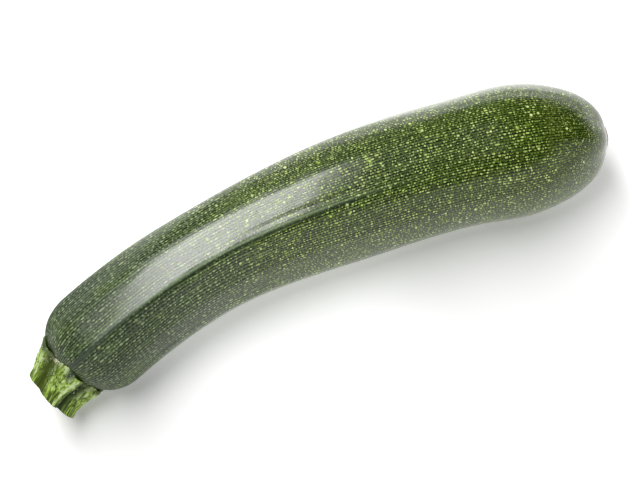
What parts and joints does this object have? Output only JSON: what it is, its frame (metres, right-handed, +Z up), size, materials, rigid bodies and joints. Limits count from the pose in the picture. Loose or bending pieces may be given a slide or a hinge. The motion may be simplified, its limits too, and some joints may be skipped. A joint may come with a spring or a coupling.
{
  "type": "courgette",
  "caption": "Whole curved green courgette with a short ribbed cut stalk, lying on its side; a free-standing vegetable for kitchen, market and table scenes.",
  "frame": {"origin": "bottom centre of the bounding box, on the surface that the courgette rests on", "axes": "+X along the courgette from the cut stalk to the blossom end, +Y towards the outer side of its bend, +Z up"},
  "size_m": [0.2116, 0.0526, 0.0458],
  "materials": {
    "skin": "semi-gloss waxy dark green skin, densely flecked with pale yellow-green",
    "stalk": "dull yellow-green plant fibre with fine lengthwise streaks and short bristles"
  },
  "bodies": {
    "root": {"fruit": "skin", "stem": "stalk"}
  },
  "joints": []
}
